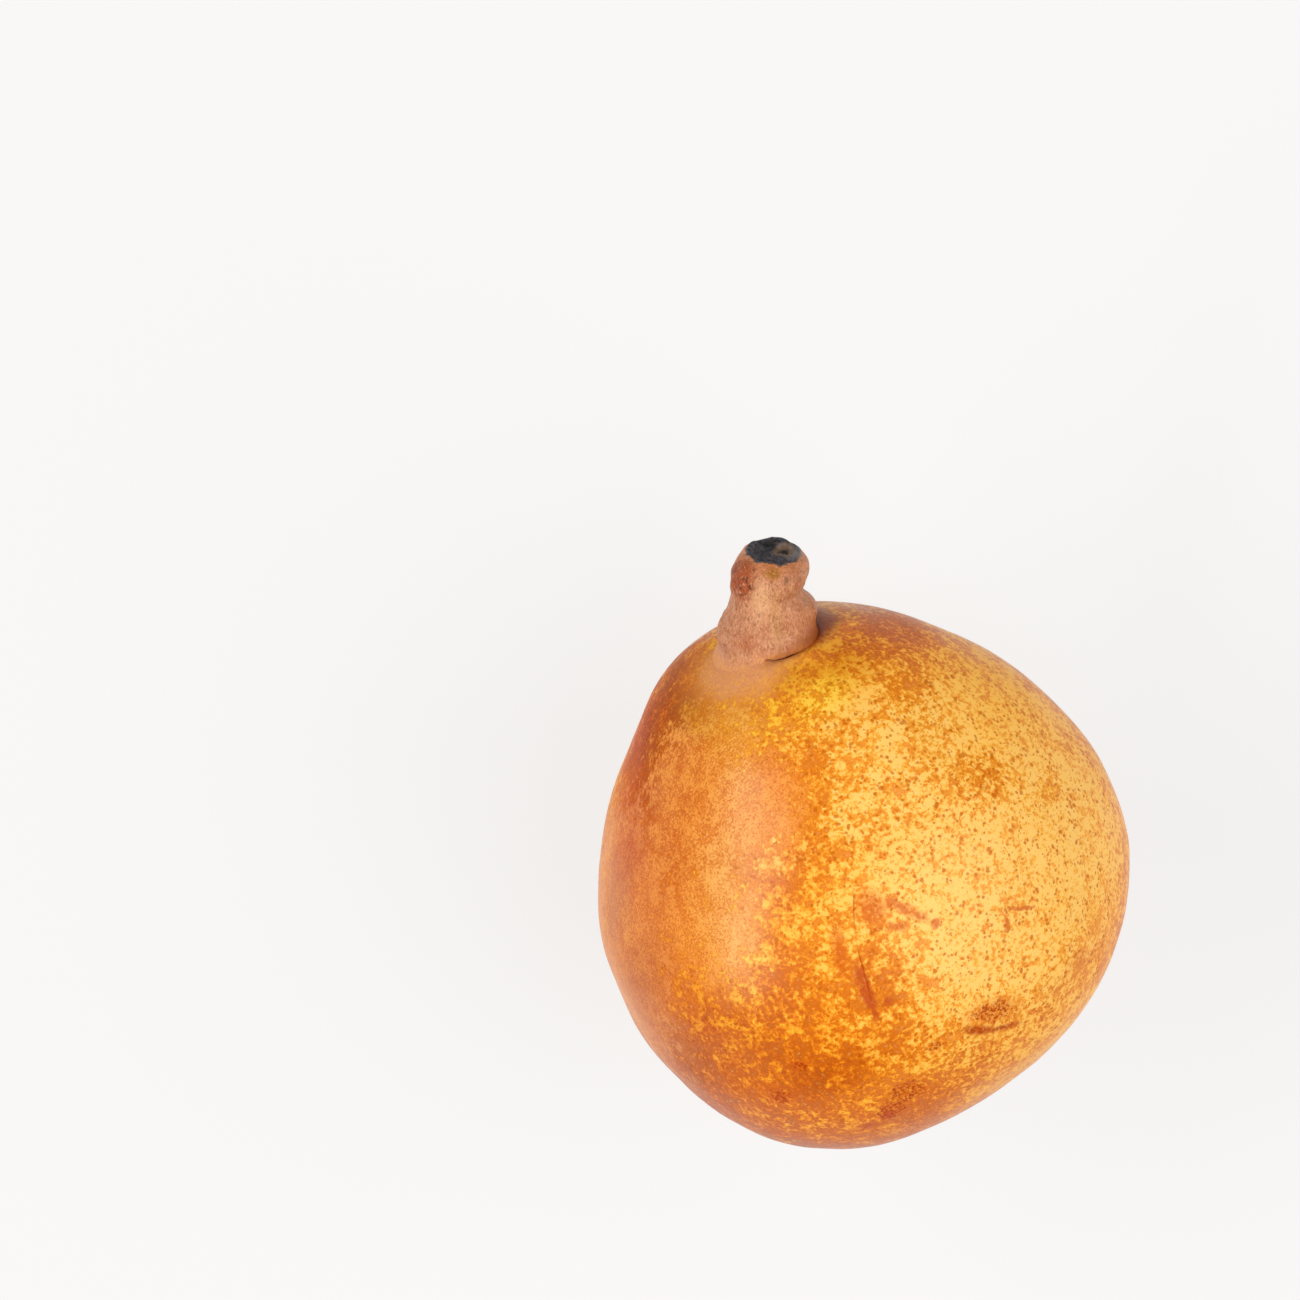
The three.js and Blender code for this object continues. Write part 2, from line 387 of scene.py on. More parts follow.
def colour(red, green, blue):
    """A screen colour of 0 to 255 as linear light, by the sRGB curve."""
    parts = [c / 255 for c in (red, green, blue)]
    linear = [c / 12.92 if c <= 0.04045 else ((c + 0.055) / 1.055) ** 2.4 for c in parts]
    return (*linear, 1.0)


def together(g, masks):
    """The strongest of several masks."""
    total = masks[0]
    for mask in masks[1:]:
        total = g.math("MAXIMUM", total, mask)
    return total


def added(g, base, parts):
    """base and every (mask, amount) added up."""
    total = base
    for mask, amount in parts:
        total = g.scaled(mask, amount, total)
    return total


def warped(g, where, per_mm, amount, detail=3.0):
    """where, pushed about by noise by up to about amount mm."""
    push = g.noise(where, per_mm, detail=detail, output=1)
    centred = g.vector_math("SUBTRACT", push, (0.5, 0.5, 0.5))
    scaled = g.node("VectorMath", {0: centred, "Scale": 2 * amount}, operation="SCALE")
    return g.vector_math("ADD", where, scaled)


def shaded(g, base, grain, amount):
    """The colour made a little lighter and darker by a grain of 0 to 1."""
    centred = g.math("SUBTRACT", grain, 0.5)
    factor = g.scaled(centred, g.times(amount, 2.0), 1.0)
    return g.node("VectorMath", {0: base, "Scale": factor}, operation="SCALE")


# -------- places on the skin

# The fruit's plain outline, evenly spaced from the blossom basin to the stem, and its side alone.
OUTLINE_CURVE = spline(FRUIT_OUTLINE, FRUIT_RINGS)
SIDE_CURVE = OUTLINE_CURVE[np.argmin(OUTLINE_CURVE[:, 1]) :]

# The steps over which the directions of the skin are measured.
LENGTHWISE_STEP = 0.3
CROSSWISE_STEP_DEG = 0.5


def skin_point(azimuth_deg, height):
    """A point of the fruit's side in its own frame, at a height above its middle."""
    radius = np.interp(height + BASE_BELOW_MIDDLE, SIDE_CURVE[:, 1], SIDE_CURVE[:, 0])
    return Vector(on_fruit(radius, np.float64(height), np.float64(math.radians(azimuth_deg))))


def skin_frame(azimuth_deg, height, towards=None):
    """A matrix at a point of the skin: X along the skin, round the core or towards a place; Z out."""
    here = skin_point(azimuth_deg, height)
    east = skin_point(azimuth_deg + CROSSWISE_STEP_DEG, height) - here
    north = skin_point(azimuth_deg, height + LENGTHWISE_STEP) - here
    up = east.cross(north).normalized()
    along = east if towards is None else skin_point(*towards) - here
    along = (along - along.dot(up) * up).normalized()
    across = up.cross(along)
    turn = Matrix((along, across, up)).transposed()
    return Matrix.Translation(here) @ turn.to_4x4()


def patch(g, where, place, around, lengthwise, edge):
    """A soft oval on the skin. place is (azimuth, height), and the sizes are half its size in mm."""
    frame = skin_frame(*place)
    sizes = (around, lengthwise, max(around, lengthwise))
    return g.spot(where, frame.to_translation(), sizes, edge, frame.to_euler())


def patches(g, where, ovals, edge):
    """The strongest of several patches with one edge."""
    return together(g, [patch(g, where, *oval, edge) for oval in ovals])


def streak(g, where, start, end, width, edge):
    """A long thin mark on the skin between two places."""
    frame = skin_frame(*start, towards=end)
    span = skin_point(*end) - skin_point(*start)
    middle = frame.to_translation() + span / 2
    half = span.length / 2
    return g.spot(where, middle, (half, width / 2, half), edge, frame.to_euler())


def marks(g, where, shapes):
    """The strongest of several streaks and of ovals with their own edges."""
    makers = [streak if isinstance(shape[1], tuple) else patch for shape in shapes]
    return together(g, [make(g, where, *shape) for make, shape in zip(makers, shapes)])


# -------- colours

# Two sets of shades, from bare skin to thick russet: the fruit's pale cheek and all round it.
CHEEK_SHADES = [
    (0.38, colour(230, 181, 93)),
    (0.46, colour(226, 164, 62)),
    (0.57, colour(214, 136, 33)),
    (0.72, colour(196, 106, 14)),
    (1.0, colour(168, 82, 12)),
]
WARM_SHADES = [
    (0.36, colour(230, 164, 42)),
    (0.45, colour(223, 146, 25)),
    (0.56, colour(208, 117, 10)),
    (0.7, colour(184, 88, 4)),
    (1.0, colour(148, 62, 2)),
]
DEEP_ORANGE = colour(190, 88, 0)
BROWN = colour(146, 44, 0)
CUT_LINE = colour(156, 50, 0)
RUSSET = colour(190, 98, 14)
RUSSET_PALE = colour(232, 154, 58)
OLIVE = colour(150, 92, 10)
DOT = colour(172, 80, 0)
FRECKLE = colour(204, 112, 8)
SCAR = colour(186, 82, 12)
BRUISE = colour(166, 62, 18)
BASIN_BROWN = colour(122, 84, 50)

# The skin round the stem's foot, and the painted shade in the crease there.
FOOT_TAN = colour(190, 124, 74)
FOOT_ORANGE = colour(204, 136, 62)
FOOT_FLECK = colour(222, 158, 56)
FOOT_PALE = colour(204, 140, 70)
PAINTED_CREASE_SHADE = colour(122, 46, 4)

BARK = colour(172, 112, 70)
BARK_PALE = colour(212, 162, 116)
BARK_PINK = colour(196, 134, 100)
BARK_ORANGE = colour(148, 62, 4)
BARK_TAWNY = colour(176, 98, 44)
BARK_DARK = colour(92, 46, 24)
BARK_GREEN = colour(176, 136, 74)

CUT_GREY = colour(72, 70, 78)
CUT_BLUE = colour(48, 50, 58)
CUT_BLACK = colour(20, 16, 15)
CUT_BROWN = colour(92, 68, 50)
CUT_ASH = colour(124, 116, 112)
PITH = colour(122, 98, 76)

SEPAL_BROWN = colour(96, 62, 38)
SEPAL_DARK = colour(48, 32, 24)
SEPAL_PALE = colour(142, 104, 70)
STAMEN_PALE = colour(128, 92, 58)


# -------- the skin's markings

# A place is (azimuth in degrees, height above the fruit's middle), and an oval starts with its
# place, its half size round the core and its half size lengthwise.

# Where russet covers more or less of the yellow: place, half sizes, amount.
RUSSET_COVER = [
    ((194, 2), 30, 46, 0.4), ((221, 28), 27, 22, 0.44), ((215, 37), 14, 9, 0.2),
    ((160, 32), 26, 14, 0.35), ((288, 3), 25, 24, -0.26), ((286, 25), 18, 11, -0.14),
    ((326, 8), 28, 30, -0.2), ((346, 32), 20, 9, 0.3), ((288, 33), 22, 8, -0.12),
    ((335, 18), 16, 14, -0.12), ((264, 3), 8, 15, 0.2), ((241, 8), 9, 14, 0.2),
    ((328, 4), 12, 12, -0.14), ((268, -27), 16, 9, -0.12), ((312, 16), 8, 5, 0.28),
    ((323, 9), 7, 4, 0.2), ((256, -3), 24, 16, 0.2), ((232, -12), 22, 12, 0.18),
    ((252, -27), 46, 16, 0.22), ((318, -17), 20, 12, 0.04), ((298, -25), 24, 12, -0.3),
    ((256, 26), 12, 10, 0.15),
]
COVER_EDGE = 0.15
LEAST_COVER = 0.3

# Where the bare skin between the russet is palest.
PALE_CHEEK = [((300, 4), 42, 34), ((290, 24), 30, 18), ((250, 24), 9, 12)]
PALE_EDGE = 0.3

# Where the russet is whole and smooth.
SMOOTH_RUSSET = [
    ((194, 8), 24, 34), ((221, 27), 20, 20), ((226, 14), 13, 15), ((245, 26), 11, 10),
]
SMOOTH_EDGE = 0.1

# Where the russet's grain is finer, and where it lies in small crisp flecks.
GRAINY = [((318, -6), 12, 28), ((278, -29), 34, 10)]
CRISP = [((286, -10), 24, 18), ((302, 10), 34, 30)]
GRAIN_EDGE = 0.2

# Tints that multiply red, green and blue: the ovals, and how much of each is left. Some are painted
# light: a painted sheen, and painted shade at the left edge.
TINTS_SHADE_AND_SHEEN = [
    # A painted sheen, partly paler skin: lighter and less orange along the soft highlight on the left.
    ([((234, 15), 8, 22), ((238, 30), 5, 8)], (1.03, 1.22, 1.9)),
    ([((209, 18), 11, 28), ((203, 0), 12, 20), ((217, 4), 12, 11)], (0.92, 0.8, 0.68)),
    ([((240, 34), 13, 6), ((262, 36), 7, 4), ((285, 33.4), 8, 5)], (1.0, 1.22, 1.0)),
    # Darker and redder at the upper left edge: partly painted shade, partly duller skin.
    ([((166, 26), 12, 12), ((183, 23), 11, 10), ((192, 18), 9, 10)], (0.85, 0.6, 0.52)),
    ([((258, 28), 9, 7), ((254, 21), 8, 8), ((248, 18), 8, 8)], (0.97, 0.9, 0.82)),
    # Darker at the lower left edge: painted shade, with a pinkish tint of the skin.
    ([((192, 11), 8, 12), ((204, 3), 10, 11), ((213, -6), 9, 10)], (0.84, 0.78, 0.84)),
    ([((252, -9), 14, 6), ((226, 0), 15, 12), ((213, 8), 7, 12)], (0.9, 0.82, 0.75)),
]

# Dull olive skin on the shoulder beside the stem, darkened in part as painted shade, and the painted
# shadow of the stem's overhang over brown skin under it.
SHADED_OLIVE_SHOULDER = [((178, 36), 15, 8), ((150, 34), 12, 8), ((190, 34), 12, 5)]
SHADED_OLIVE_LEFT = (0.8, 0.8, 0.15)
STEM_SHADOW_AND_BROWN = [((312, 34.6), 9, 7), ((284, 35.4), 7, 3.6)]
STEM_SHADOW_AND_BROWN_LEFT = (0.82, 0.72, 0.52)
TINT_EDGE = 0.1

# Where the skin shines less, and where it shines more.
MATTE_SHOULDER = ((168, 28), 26, 26, 0.0)
WAXY_FRONT = ((236, 12), 14, 34, 0.3)
LEAST_GLOSS = 0.05

# Marks: streaks of (start, end, width, edge), and ovals with their edge. First blotchy rubs.
RUBS = [
    ((270.6, 12.2), (281.4, 4.4), 2.2, 0.2), ((273.0, 10.3), 1.5, 1.2, 0.3),
    ((280.6, 5.2), 1.3, 1.0, 0.3), ((295.8, 1.7), (305.2, -2.2), 0.9, 0.3),
    ((297.0, 0.9), (294.4, -1.8), 1.2, 0.3), ((222, -19), (240, -24), 1.4, 0.3),
]
FAINT_RUBS = [
    ((268.5, 10.6), 3.0, 4.0, 0.2), ((268.5, 8.0), (276.0, 6.4), 2.2, 0.3),
    ((259.6, 13.0), (257.5, 2.0), 3.0, 0.2),
]

# One long thin scratch, fainter at its start, and the two streaks of a dark lens-shaped cut.
SCRATCH_START = ((266.3, 14.4), (262.6, 8.4), 0.4, 0.3)
SCRATCH_END = ((262.6, 8.4), (261.4, -2.6), 0.4, 0.4)
DEEP_CUTS = [
    ((275.6, -10.0), (286.4, -14.8), 2.2, 0.3), ((279.6, -12.6), (293.6, -16.6), 1.4, 0.2),
]

# Smooth purplish-brown spots: beside the scratch, and near the fruit's widest part.
BRUISES = [
    ((261.0, 6.0), (261.4, -3.6), 2.4, 0.5), ((261.6, 0.6), (261.2, -4.6), 1.3, 0.5),
    ((264.6, -1.6), 1.5, 1.0, 0.2), ((255.6, -20.6), 1.7, 1.2, 0.2),
    ((250.5, -21.4), 2.0, 1.2, 0.2),
]

# Clouds of brown specks where the russet is thick.
CLOUDS = [
    ((262, -17.0), 5.0, 3.8, 0.3), ((257, -19.5), 4.2, 3.2, 0.3),
    ((276, -8.6), (295.0, -13.4), 6.0, 0.2), ((271, -11.0), 2.6, 1.8, 0.1),
    ((236, -12), 5.5, 3.5, 0.1), ((243, -7), 2.4, 1.8, 0.2), ((310, -14), 4.0, 3.0, -0.4),
]

# The middle of the tan skin, beside the stem, and how far each kind of tan and the basin reach.
FOOT_MIDDLE = SEAT + Vector((-3.2, -2.6, 0))
TAN_REACH = 9.2
PINK_REACH = 9.5
RAGGED_REACH = 11.8
PALE_REACH = 15
BASIN_REACH = 11.5

# The shade in the crease lies towards the first azimuth and is wider towards the second.
CREASE_SHADE_DEG = -36
CREASE_WIDE_DEG = 5
CREASE_SHADE = 0.85

# Noises: how many grains to the mm, how rough and, if not 3, how many layers of detail.
FINE = (1.4, 0.66, 4.0)
CLUMPS = (0.4, 0.6)
SPECKLE = (3.2, 0.75)
THICK_SPECKS = (2.2, 0.7)
PITS = (4.5, 0.6, 2.0)


def skin_grains(g, where):
    """The noises that the skin's colour and relief share."""
    torn = warped(g, where, 1.2, 0.3)
    return g.noise(torn, *FINE), g.noise(torn, *CLUMPS), g.noise(where, *SPECKLE)


def russet_cover(g, where):
    """How much of the skin is russet, about 0 to 1."""
    soft = warped(g, where, 0.12, 3.0)
    drift = g.math("SUBTRACT", g.noise(where, 0.045), 0.5)
    base = g.scaled(drift, 0.5, 0.5)
    ovals = [(patch(g, soft, *oval, COVER_EDGE), amount) for *oval, amount in RUSSET_COVER]
    return added(g, base, ovals)


def russet_lace(g, where, grains):
    """Bare skin with russet in flecks, and how thick the russet is."""
    fine, clumps, speckle = grains
    cover = g.math("MAXIMUM", russet_cover(g, where), LEAST_COVER)
    underside = g.step(g.level(where), 4.0, -22.0)
    grainy = patches(g, where, GRAINY, GRAIN_EDGE)
    finer = g.times(grainy, g.math("SUBTRACT", speckle, fine))
    flatter = g.times(grainy, g.math("SUBTRACT", 0.5, clumps))
    crisp = patches(g, where, CRISP, GRAIN_EDGE)
    flecks = g.times(crisp, g.math("SUBTRACT", fine, clumps))
    parts = [(fine, 1.43), (clumps, 1.1), (cover, 0.72), (underside, 0.04)]
    thickness = added(g, -1.115, [*parts, (finer, 0.7), (flatter, 0.4), (flecks, 0.38)])
    cheek = patches(g, where, PALE_CHEEK, PALE_EDGE)
    lace = g.mix(cheek, g.ramp(thickness, WARM_SHADES), g.ramp(thickness, CHEEK_SHADES))
    return lace, thickness


def smooth_russet(g, where, skin, grains):
    """The skin with whole russet over part of it, and the mask of that part."""
    fine, clumps, speckle = grains
    mottle = added(g, 0.0, [(speckle, 0.45), (clumps, 0.3), (fine, 0.25)])
    russet = g.mix(g.step(mottle, 0.42, 0.58), RUSSET, RUSSET_PALE)
    near = warped(g, where, 0.25, 2.5, 4.0)
    whole = patches(g, near, SMOOTH_RUSSET, SMOOTH_EDGE)
    whole = g.step(added(g, whole, [(clumps, 1.5), (fine, 1.8)]), 1.75, 2.35)
    return g.painted(skin, russet, whole, 0.8), whole


def lenticels(g, where, size, per_mm, least):
    """Small round dots all over the skin. A lower least leaves fewer and smaller ones."""
    inputs = {"Vector": where, "Scale": per_mm, "Randomness": 1.0}
    apart = g.node("TexVoronoi", inputs, output="Distance", voronoi_dimensions="3D")
    reach = g.scaled(size, 0.8, least)
    return g.step(apart, reach, g.times(reach, 0.6))


def dotted(g, where, skin, whole):
    """The skin with freckles, darker dots and fine pits, and the mask of the dots."""
    uneven = warped(g, where, 0.9, 0.35, 2.0)
    size = g.noise(where, 0.5, detail=1.0)
    freckles = lenticels(g, uneven, size, 1.5, -0.08)
    skin = g.painted(skin, FRECKLE, freckles, g.scaled(whole, -0.5, 0.6))
    dots = lenticels(g, uneven, size, 1.1, -0.1)
    skin = g.painted(skin, DOT, dots, g.scaled(whole, -0.5, 0.7))
    pits = g.step(g.noise(where, *PITS), 0.64, 0.72)
    return g.painted(skin, DEEP_ORANGE, pits, 0.5), dots


def toned(g, soft, skin):
    """The skin with its broad tints, among them a painted sheen and painted shade, and the mask of the
    olive ones, which are partly painted shade.
    """
    # Olive skin on the shoulder, darkened in part as painted shade.
    olive = patches(g, soft, SHADED_OLIVE_SHOULDER, TINT_EDGE)
    skin = g.tinted(skin, olive, SHADED_OLIVE_LEFT)
    for ovals, left in TINTS_SHADE_AND_SHEEN:
        skin = g.tinted(skin, patches(g, soft, ovals, TINT_EDGE), left)
    return skin, olive


def rubs(g, wavy):
    """Blotchy reddish bands."""
    blotches = g.step(g.noise(wavy, 1.3, 0.6), 0.36, 0.54)
    sharp = g.times(marks(g, wavy, RUBS), g.scaled(blotches, 0.4, 0.6))
    faint = g.times(marks(g, wavy, FAINT_RUBS), g.scaled(blotches, 0.4, 0.5))
    return together(g, [sharp, faint])


def cut_lines(g, where):
    """The long thin scratch and the dark cut."""
    wavy = warped(g, where, 0.3, 0.25, 2.0)
    start = g.times(streak(g, wavy, *SCRATCH_START), 0.6)
    end = g.times(streak(g, wavy, *SCRATCH_END), 0.7)
    mottle = g.step(g.noise(where, *THICK_SPECKS), 0.4, 0.54)
    deep = g.times(marks(g, wavy, DEEP_CUTS), g.scaled(mottle, 0.35, 0.6))
    return together(g, [start, end, deep])


def marked(g, where, skin):
    """The skin with all its marks, and the masks of the thick specks and of the cuts."""
    clouds = marks(g, warped(g, where, 0.6, 1.1, 4.0), CLOUDS)
    skin = g.painted(skin, DEEP_ORANGE, clouds, 0.55)
    specks = added(g, g.noise(where, *THICK_SPECKS), [(clouds, 0.31)])
    thick = g.step(specks, 0.76, 0.86)
    skin = g.painted(skin, BROWN, thick, 0.85)
    wavy = warped(g, where, 1.1, 0.6)
    skin = g.painted(skin, SCAR, rubs(g, wavy), 0.85)
    skin = g.painted(skin, BRUISE, marks(g, wavy, BRUISES), 0.75)
    cuts = cut_lines(g, where)
    return g.mix(cuts, skin, CUT_LINE), thick, cuts


def tan_skin(g, where):
    """The tan skin right at the stem, pinkish and specked like the bark, with some of the russet."""
    coarse = g.noise(where, 0.8, 0.6)
    mottle = added(g, 0.0, [(g.noise(where, *SPECKLE), 0.6), (coarse, 0.4)])
    tan = g.mix(g.step(mottle, 0.4, 0.6), FOOT_TAN, FOOT_ORANGE)
    tan = g.painted(tan, BARK_PINK, g.spot(where, FOOT_MIDDLE, PINK_REACH, 0.4), 0.5)
    flecks = g.step(g.noise(where, 1.7, 0.7), 0.51, 0.61)
    tan = g.painted(tan, FOOT_FLECK, flecks, 0.55)
    specks = g.noise(where, 3.4, 0.8)
    tan = g.painted(tan, BARK_TAWNY, g.step(specks, 0.55, 0.64), 0.5)
    return g.painted(tan, BARK_PALE, g.step(specks, 0.45, 0.36), 0.45)


def both_ends(g, where, soft, skin, grains):
    """The skin with tan round the stem and a brown basin, and the mask of the whole tan."""
    fine, clumps, _ = grains
    loose = warped(g, where, 0.25, 1.7, 2.0)
    skin = g.painted(skin, FOOT_PALE, g.spot(loose, FOOT_MIDDLE, PALE_REACH, 0.35), 0.35)
    torn = warped(g, where, 0.4, 1.2, 2.0)
    ragged = g.spot(torn, FOOT_MIDDLE, RAGGED_REACH, 0.2)
    ragged = g.step(added(g, ragged, [(clumps, 0.8), (fine, 1.4)]), 1.3, 1.75)
    gaps = g.scaled(g.step(fine, 0.5, 0.4), -0.4, 0.86)
    core = g.spot(torn, FOOT_MIDDLE, TAN_REACH, 0.62)
    tan = g.math("MAXIMUM", g.times(ragged, gaps), core)
    skin = g.mix(tan, skin, tan_skin(g, where))
    # Painted shadow of the stem's overhang, with brown skin, beside the stem.
    skin = g.tinted(skin, patches(g, soft, STEM_SHADOW_AND_BROWN, TINT_EDGE), STEM_SHADOW_AND_BROWN_LEFT)
    basin = g.spot(loose, BASIN, BASIN_REACH, 0.45)
    return g.painted(skin, BASIN_BROWN, basin, 0.85), core


def crease_shade_mask(g, where):
    """1 in the groove that runs round one side of the stem's foot, and wider on its right: the place of
    the painted shade in the crease.
    """
    flat = g.vector_math("MULTIPLY", g.vector_math("SUBTRACT", where, SEAT), (1.0, 1.0, 0.0))
    radius = g.node("VectorMath", {0: flat}, output="Value", operation="LENGTH")
    side = g.step(g.along(flat, CREASE_SHADE_DEG), 0.8, 2.4)
    groove = g.step(g.scaled(g.along(flat, CREASE_WIDE_DEG), -0.35, radius), 7.6, 5.9)
    level = g.level(where)
    low = g.step(level, SEAT.z + 3.2, SEAT.z + 0.9)
    stem_end = g.math("GREATER_THAN", level, 0.0)
    return g.times(g.times(side, groove), g.times(low, stem_end))


def skin_look(g, where):
    """The skin's colour, roughness, relief and gloss."""
    grains = skin_grains(g, where)
    fine, clumps, speckle = grains
    skin, thickness = russet_lace(g, where, grains)
    skin, whole = smooth_russet(g, where, skin, grains)
    skin, dots = dotted(g, where, skin, whole)
    soft = warped(g, where, 0.22, 2.6)
    skin, olive = toned(g, soft, skin)
    skin, thick, cuts = marked(g, where, skin)
    skin, core = both_ends(g, where, soft, skin, grains)
    skin = shaded(g, skin, speckle, g.scaled(whole, 0.1, 0.06))

    roughness = added(g, 0.25, [(thickness, 0.06), (speckle, 0.08), (core, 0.07)])
    relief = added(g, 0.0, [(speckle, 0.5), (fine, 0.4), (clumps, 0.3)])
    waxy = together(g, [whole, patch(g, where, *WAXY_FRONT)])
    matte = together(g, [olive, patch(g, where, *MATTE_SHOULDER)])
    shine = [(waxy, 0.28), (matte, -0.52), (thick, -0.15), (cuts, -0.15), (dots, -0.1), (core, -0.3)]
    gloss = g.math("MAXIMUM", added(g, 0.3, shine), LEAST_GLOSS)
    return skin, roughness, relief, gloss


def skin_material():
    g = Graph(bpy.data.materials.new("skin"))
    where = g.place(FRUIT_TO_ROW)
    skin, roughness, relief, gloss = skin_look(g, where)
    # Painted shade in the crease under the stem's bulge.
    skin = g.painted(skin, PAINTED_CREASE_SHADE, crease_shade_mask(g, where), CREASE_SHADE)
    return g.finish(skin, roughness, relief, SKIN_RELIEF, gloss)


# -------- where the stem meets the skin

# A crease runs under the stem's bulge: whole near its middle, and gone further round.
CREASE_MIDDLE_DEG = -20
CREASE_WHOLE_DEG = 66
CREASE_END_DEG = 104

# The crease's groove and lip, and the collar of flesh: height, distance from the core, spread.
CREASE_GROOVE = (0.75, 6.3, 0.9)
CREASE_LIP = (0.2, 8.3, 1.3)
COLLAR = (1.5, 4.5, 3.6)
COLLAR_MIDDLE_DEG = -110
COLLAR_SPREAD_DEG = 50


def creased(azimuth):
    """1 on the side with the crease and 0 on the other."""
    return 1 - smooth(np.abs(turned_from(azimuth, CREASE_MIDDLE_DEG)), CREASE_WHOLE_DEG, CREASE_END_DEG)


def stem_crease(azimuth, radius):
    """How deep the groove under the stem's bulge is, with a low lip outside it."""
    return (hump(radius, CREASE_GROOVE) - hump(radius, CREASE_LIP)) * creased(azimuth)


def stem_collar(azimuth, radius):
    """How high the flesh stands up against the stem."""
    return hump(turned_from(azimuth, COLLAR_MIDDLE_DEG), (1, 0, COLLAR_SPREAD_DEG)) * hump(radius, COLLAR)


def skin_round_stem(radius, azimuth):
    """The skin near the stem, in the fruit's frame."""
    height = np.interp(-radius, -SIDE_CURVE[:, 0], SIDE_CURVE[:, 1]) - BASE_BELOW_MIDDLE
    lift = stem_collar(azimuth, radius)
    return on_fruit(radius, height, azimuth) + lift[..., None] * UPWARDS


# -------- the fruit

# Low waves of the skin: size, height, seed. They fade out round the stem.
SKIN_WAVES = [(12, 0.3, 3), (4, 0.06, 8)]
CALM_RADIUS = 8

# Folds round the blossom basin: height, distance from the core, spread; and how many.
PLEATS = (0.3, 7.5, 3.2)
SMALL_PLEATS = 9
WIDE_PLEATS = 5


def skin_waves(grid, radius, height):
    """Uneven waves all over the skin, apart from the stem's surroundings."""
    clear_of_stem = np.clip((radius - CALM_RADIUS) / CALM_RADIUS, 0, 1)
    return rough(grid, *SKIN_WAVES) * np.where(height > 0, clear_of_stem, 1)


def basin_pleats(azimuth, radius):
    """Uneven folds round the blossom basin."""
    small = np.cos(SMALL_PLEATS * azimuth + 0.8 * np.sin(2 * azimuth))
    wide = np.cos(WIDE_PLEATS * azimuth + 1)
    return hump(radius, PLEATS) * (small + 0.5 * wide)


def fruit():
    azimuth = once_round(FRUIT_SIDES)[None, :]
    radius = OUTLINE_CURVE[1:-1, :1]
    height = OUTLINE_CURVE[1:-1, 1:] - BASE_BELOW_MIDDLE
    grid = on_fruit(radius + 0 * azimuth, height + 0 * azimuth, azimuth + 0 * radius)
    at_stem = stem_collar(azimuth, radius) - stem_crease(azimuth, radius)
    relief = np.where(height > 0, at_stem, 0) + np.where(height < 0, basin_pleats(azimuth, radius), 0)
    relief = relief + skin_waves(grid, radius, height)
    grid = moved(grid + outward(grid) * relief[..., None], FRUIT_TO_ROW)
    grid[..., 2] = np.maximum(grid[..., 2], 0)
    vertices, faces = closed_grid(grid)
    mesh_piece("pear_skin", vertices, faces, skin_material(), "fruit")


# -------- the stem

# The foot flares into the skin: how far out it starts and how high it ends, also in the crease.
FLARE_REACH = 7.4
FLARE_LEAN = 1.0
CREASE_REACH = 5.7
FLARE_RISE = 2.9
CREASE_RISE = 0.9
FOOT_TILT = 2.3
FOOT_DEPTH = 0.3

# How the foot sets off: inwards and a little upwards, and in the crease back out and up.
FOOT_STEP = 0.3
FOOT_LIFT = 0.1
CREASE_OUT = 1.6
CREASE_LIFT = 0.3

STEM_CURVE = spline(STEM_OUTLINE, count=200)
FOOT_RINGS = 26
SIDE_RINGS = 66
CUT_RINGS = 24
BURIED_RINGS = 2

# The cut end: its hollow, the pith's hole and its lumps (size, height, seed).
CUT_LEVEL = 13.6
HOLLOW_RADIUS = 2.0
RIM_RADIUS = 3.6
PITH_PLACE = (1.6, 0.9)
PITH_HOLE = (0.7, 0, math.sqrt(0.5))
CUT_LUMPS = [(0.9, 0.34, 5), (0.35, 0.14, 6)]
CUT_SMALLEST_RING = 0.02

# The tilted rim round it, and its lobes: height, azimuth and spread in degrees.
RIM_TILT = 0.3
RIM_DROP = 0.2
RIM_SPREAD = 1.2
RIM_STARTS = (1.5, 3.4)
RIM_LOBES = [(0.3, 131, 26), (0.35, 73, 24)]

# The bark's ridges, which run along the stem, and its lumps: size, height, seed.
RIDGES = (0.9, 0.16, 2)
RIDGE_STRETCH = np.array([1.0, 1.0, 0.3])
LUMPS = (2.4, 0.16, 4)


def foot_top(azimuth):
    """Where the foot ends, as a height along the stem."""
    return FOOT_TILT * np.cos(azimuth) + FLARE_RISE + (CREASE_RISE - FLARE_RISE) * creased(azimuth)


def stem_side(height, azimuth):
    """The stem's bark in the fruit's frame."""
    radius = np.interp(height, STEM_CURVE[:, 1], STEM_CURVE[:, 0])
    return moved(on_stem(radius, height, azimuth), STEM_TO_FRUIT)


def bridge(start, leaving, end, arriving, rings):
    """Rings on smooth curves from start to end, which leave and arrive in given directions."""
    span = np.linalg.norm(end - start, axis=-1, keepdims=True)
    leaving = leaving / np.linalg.norm(leaving, axis=-1, keepdims=True) * span
    arriving = arriving / np.linalg.norm(arriving, axis=-1, keepdims=True) * span
    t = np.linspace(0, 1, rings, endpoint=False)[:, None, None]
    return (
        (2 * t**3 - 3 * t**2 + 1) * start
        + (t**3 - 2 * t**2 + t) * leaving
        + (3 * t**2 - 2 * t**3) * end
        + (t**3 - t**2) * arriving
    )


